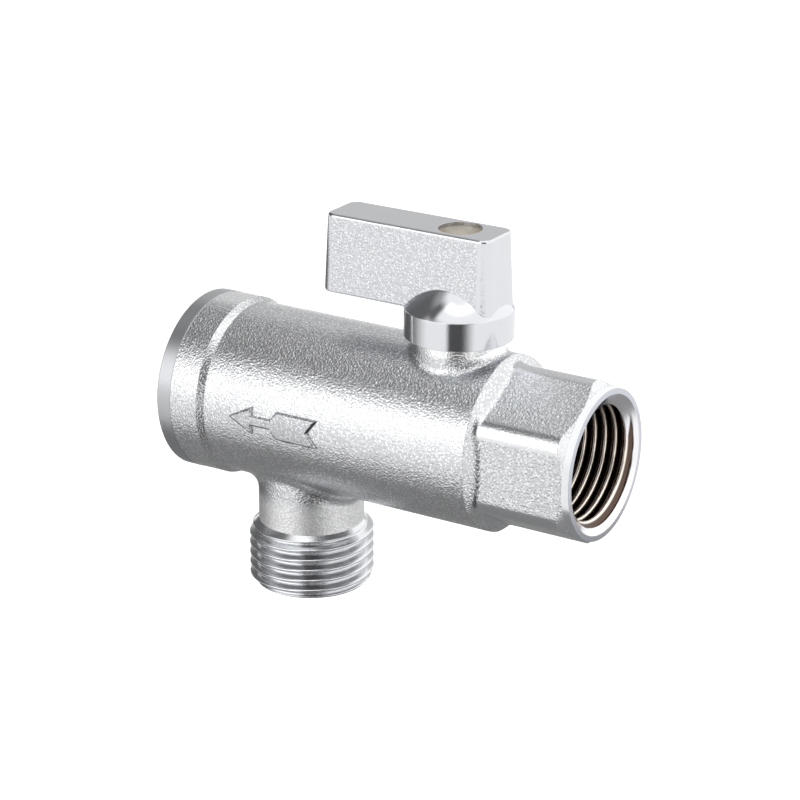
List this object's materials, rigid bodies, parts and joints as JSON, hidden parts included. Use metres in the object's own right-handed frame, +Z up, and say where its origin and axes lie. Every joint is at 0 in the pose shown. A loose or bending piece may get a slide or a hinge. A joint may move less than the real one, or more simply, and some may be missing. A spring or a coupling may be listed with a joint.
{
  "type": "isolating valve",
  "caption": "Quarter-turn isolating ball valve with hexagonal threaded inlet, threaded side branch and a short block lever.",
  "frame": {"origin": "on the inlet's axis where its thread starts, 1.3 mm inside the end face of the hexagon", "axes": "+X out of the inlet along the body, so the body runs to -X; +Z up the stem; the branch points to -Z"},
  "size_m": [0.0756, 0.0302, 0.066],
  "materials": {
    "body_plating": "blasted and plated satin, turned edges bright",
    "ball_plating": "polished and plated",
    "seat_plastic": "plain white fluoroplastic",
    "bare_brass": "turned, bare",
    "seal_rubber": "smooth black",
    "handle_plating": "satin plated, skirt bright",
    "screw_steel": "plain stainless"
  },
  "bodies": {
    "valve": {"valve_body": "body_plating", "inlet_seat": "seat_plastic", "outlet_seat": "seat_plastic", "seat_retainer": "bare_brass"},
    "ball": {"ball": "ball_plating"},
    "lever": {"stem": "bare_brass", "stem_thrust_washer": "seat_plastic", "stem_ring_lower": "seal_rubber", "stem_ring_upper": "seal_rubber", "handle": "handle_plating", "handle_screw": "screw_steel", "screw_spring_washer": "screw_steel"}
  },
  "joints": [
    {"name": "lever_turn", "type": "hinge", "parent": "valve", "child": "lever", "pos_m": [-0.0254, 0, 0.0166], "axis": [0, 0, 1], "range_deg": [-90, 0]},
    {"name": "ball_turn", "type": "hinge", "parent": "valve", "child": "ball", "pos_m": [-0.0254, 0, 0], "axis": [0, 0, 1], "range_deg": [-90, 0]}
  ],
  "couplings": [
    {"joint": "ball_turn", "follows": "lever_turn", "ratio": 1}
  ]
}
